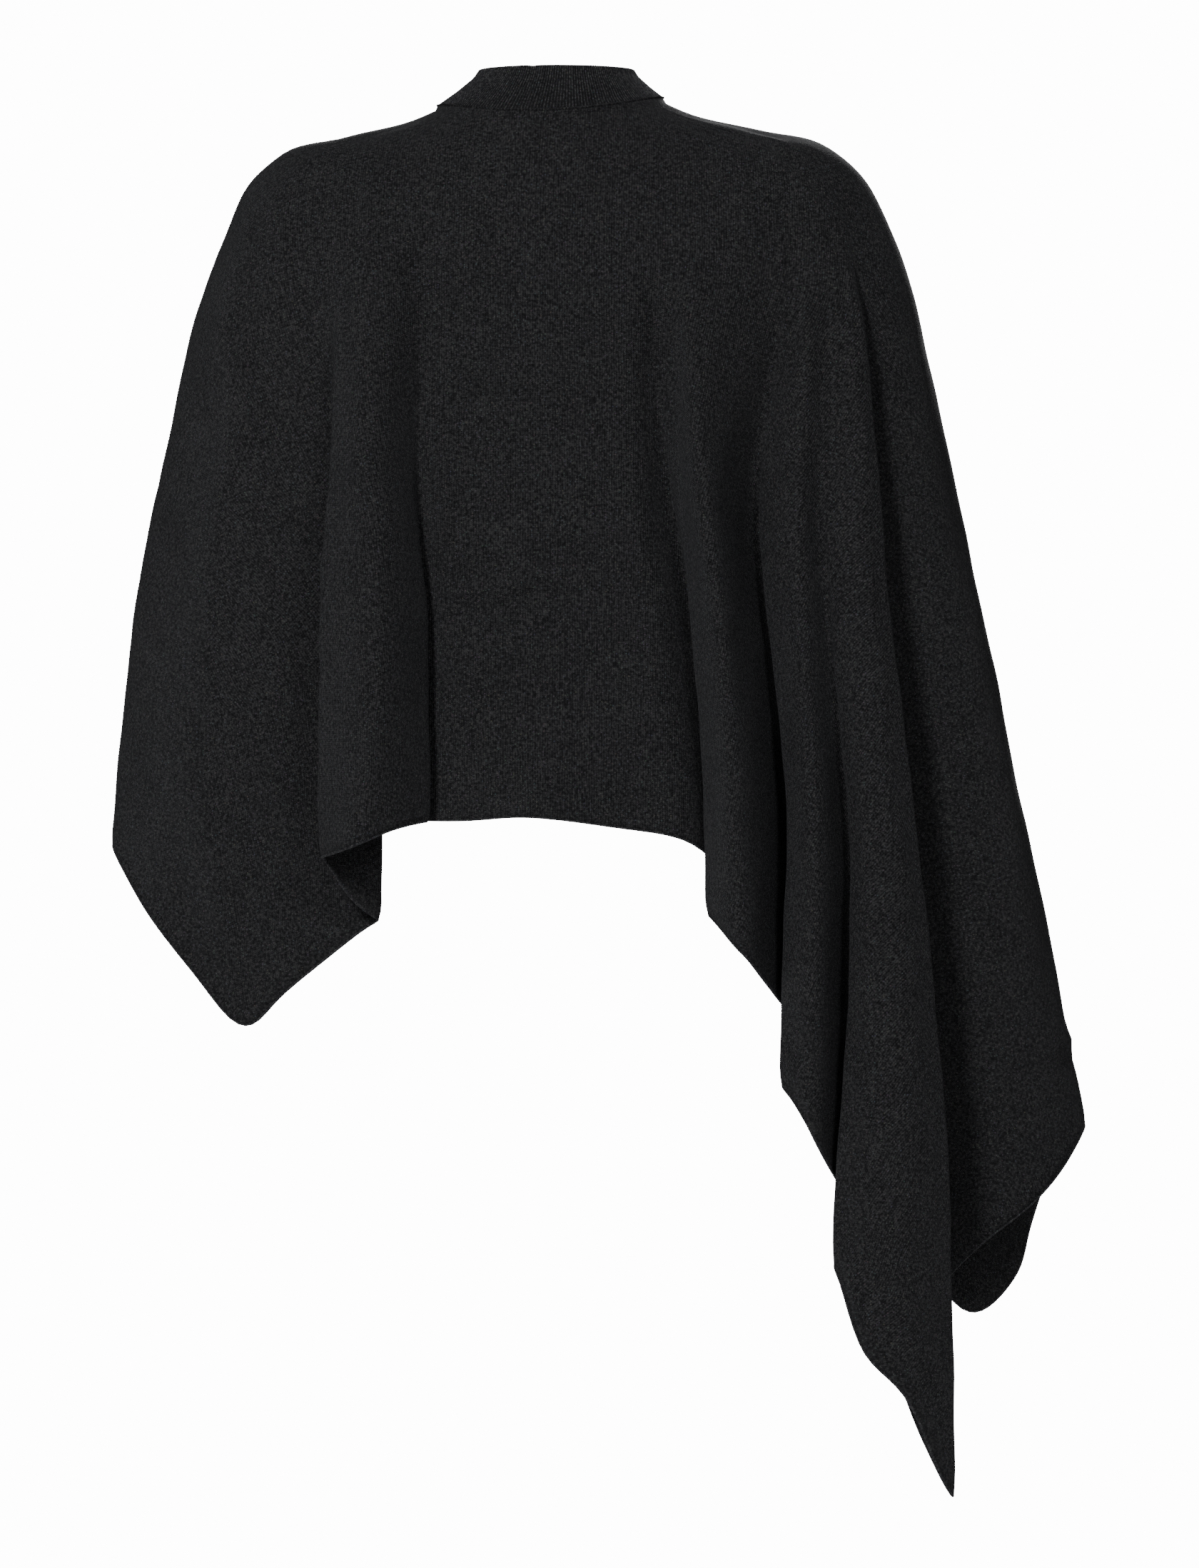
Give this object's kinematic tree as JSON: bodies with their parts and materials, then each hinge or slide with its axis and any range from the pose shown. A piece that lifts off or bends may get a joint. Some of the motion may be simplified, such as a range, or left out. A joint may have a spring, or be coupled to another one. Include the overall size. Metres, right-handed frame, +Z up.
{
  "type": "knit cape",
  "caption": "Hollow worn cape of fine knit: wide front and back panels hanging in deep vertical folds to a slanting hem, with a ribbed funnel neck.",
  "frame": {"origin": "middle of the neck opening at the height of the neck seam, where the worn cape is held", "axes": "+Z up along the body, +Y towards the wearer's front, +X towards the long side of the cape"},
  "size_m": [0.764, 0.3449, 1.1088],
  "materials": {
    "back_panel": "matt fine-gauge double knit",
    "front_panel": "matt fine-gauge double knit",
    "collar": "matt fine rib knit"
  },
  "bodies": {
    "root": {"back_panel": "back_panel", "front_panel": "front_panel", "collar": "collar"}
  },
  "joints": []
}
